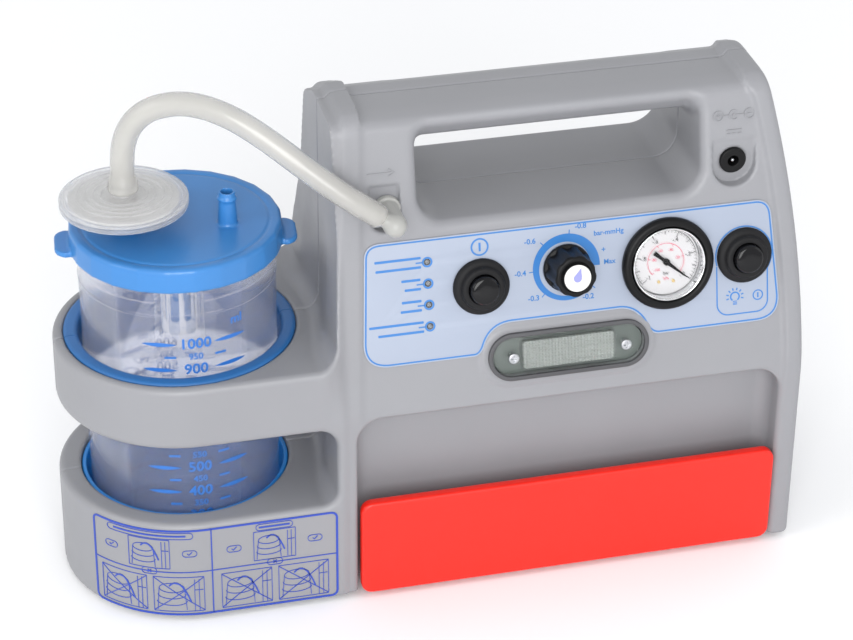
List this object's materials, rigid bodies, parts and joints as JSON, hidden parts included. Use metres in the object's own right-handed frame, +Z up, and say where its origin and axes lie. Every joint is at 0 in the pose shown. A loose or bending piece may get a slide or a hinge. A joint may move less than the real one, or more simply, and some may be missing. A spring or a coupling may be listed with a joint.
{
  "type": "suction pump",
  "caption": "Portable battery suction pump: grey carry-handle casing with a raked control panel, a red catheter pocket and a clear lidded jar held in two ring seats.",
  "frame": {"origin": "middle of the footprint, on the surface the feet stand on; the free hose is not counted", "axes": "+X towards the right end as seen from the control panel, -Y out of the front with the panel, +Z up"},
  "size_m": [0.38, 0.1378, 0.2764],
  "materials": {
    "casing_grey": "fine matt moulded texture",
    "label_film": "satin printed film",
    "pocket_red": "satin",
    "bright_blue": "satin",
    "deep_blue": "matt",
    "control_black": "satin",
    "soft_black": "matt",
    "foot_rubber": "matt",
    "seal_rubber": "matt",
    "clear_plastic": "clear, polished",
    "milky_plastic": "translucent",
    "hose_silicone": "translucent, satin",
    "white_plastic": "satin",
    "board_green": "solder mask",
    "battery_dark": "matt",
    "bright_metal": "polished",
    "plain_steel": "brushed",
    "valve_brass": "turned"
  },
  "bodies": {
    "pump_body": {"control_panel_overlay": "label_film", "status_lamp_1": "milky_plastic", "status_lamp_2": "milky_plastic", "status_lamp_3": "milky_plastic", "status_lamp_4": "milky_plastic", "status_board": "board_green", "power_collar": "soft_black", "power_switch_body": "control_black", "light_collar": "soft_black", "light_switch_body": "control_black", "regulator_valve": "valve_brass", "gauge_bezel": "control_black", "gauge_case": "bright_metal", "gauge_dial": "white_plastic", "gauge_glass": "clear_plastic", "lamp_gasket": "soft_black", "lamp_lens": "clear_plastic", "lamp_base": "board_green", "lamp_screw_1": "bright_metal", "lamp_screw_2": "bright_metal", "front_shell": "casing_grey", "rear_shell": "casing_grey", "foot_1": "foot_rubber", "foot_2": "foot_rubber", "foot_3": "foot_rubber", "foot_4": "foot_rubber", "casing_screw_1": "plain_steel", "casing_screw_2": "plain_steel", "casing_screw_3": "plain_steel", "casing_screw_4": "plain_steel", "battery_door": "casing_grey", "catheter_pocket": "pocket_red", "dc_socket": "control_black", "dc_pin": "plain_steel", "inlet_elbow": "milky_plastic", "seat_liner_front": "deep_blue", "seat_liner_rear": "deep_blue", "jar_seat_cup": "deep_blue", "battery_pack": "battery_dark", "pump_motor": "plain_steel", "pump_head": "plain_steel", "exhaust_silencer": "control_black", "suction_tube": "hose_silicone"},
    "power_button": {"power_button": "control_black"},
    "light_button": {"light_button": "control_black"},
    "regulator": {"regulator_knob": "control_black", "knob_cap": "white_plastic", "regulator_stem": "plain_steel"},
    "gauge_pointer": {"gauge_needle": "control_black"},
    "pump_crank": {"pump_eccentric": "valve_brass"},
    "jar_vessel": {"jar": "clear_plastic"},
    "lid_assembly": {"jar_lid": "bright_blue", "lid_gasket": "seal_rubber", "float_cage": "white_plastic", "filter_lower": "milky_plastic", "filter_upper": "milky_plastic", "filter_membrane": "white_plastic", "hose": "hose_silicone"},
    "shutoff_float": {"float": "bright_blue"}
  },
  "joints": [
    {"name": "power_button_press", "type": "slide", "parent": "pump_body", "child": "power_button", "axis": [0, 0.9755, -0.2199], "range_m": [0, 0.0025], "stiffness_N_per_m": 400},
    {"name": "light_button_press", "type": "slide", "parent": "pump_body", "child": "light_button", "axis": [0, 0.9755, -0.2199], "range_m": [0, 0.0025], "stiffness_N_per_m": 400},
    {"name": "regulator_turn", "type": "hinge", "parent": "pump_body", "child": "regulator", "pos_m": [0.0641, -0.04735, 0.17522], "axis": [0, -0.9755, 0.2199], "range_deg": [-73, 249]},
    {"name": "gauge_needle_swing", "type": "hinge", "parent": "pump_body", "child": "gauge_pointer", "pos_m": [0.117, -0.04823, 0.17132], "axis": [0, -0.9755, 0.2199], "range_deg": [0, 260]},
    {"name": "pump_crank_turn", "type": "hinge", "parent": "pump_body", "child": "pump_crank", "pos_m": [0.028, 0.02177, 0.044], "axis": [1, 0, 0], "continuous": true},
    {"name": "jar_lift", "type": "slide", "parent": "pump_body", "child": "jar_vessel", "axis": [0, 0, 1], "range_m": [0, 0.15]},
    {"name": "lid_lift", "type": "slide", "parent": "jar_vessel", "child": "lid_assembly", "axis": [0, 0, 1], "range_m": [0, 0.1]},
    {"name": "float_rise", "type": "slide", "parent": "lid_assembly", "child": "shutoff_float", "axis": [0, 0, 1], "range_m": [0, 0.018]}
  ]
}
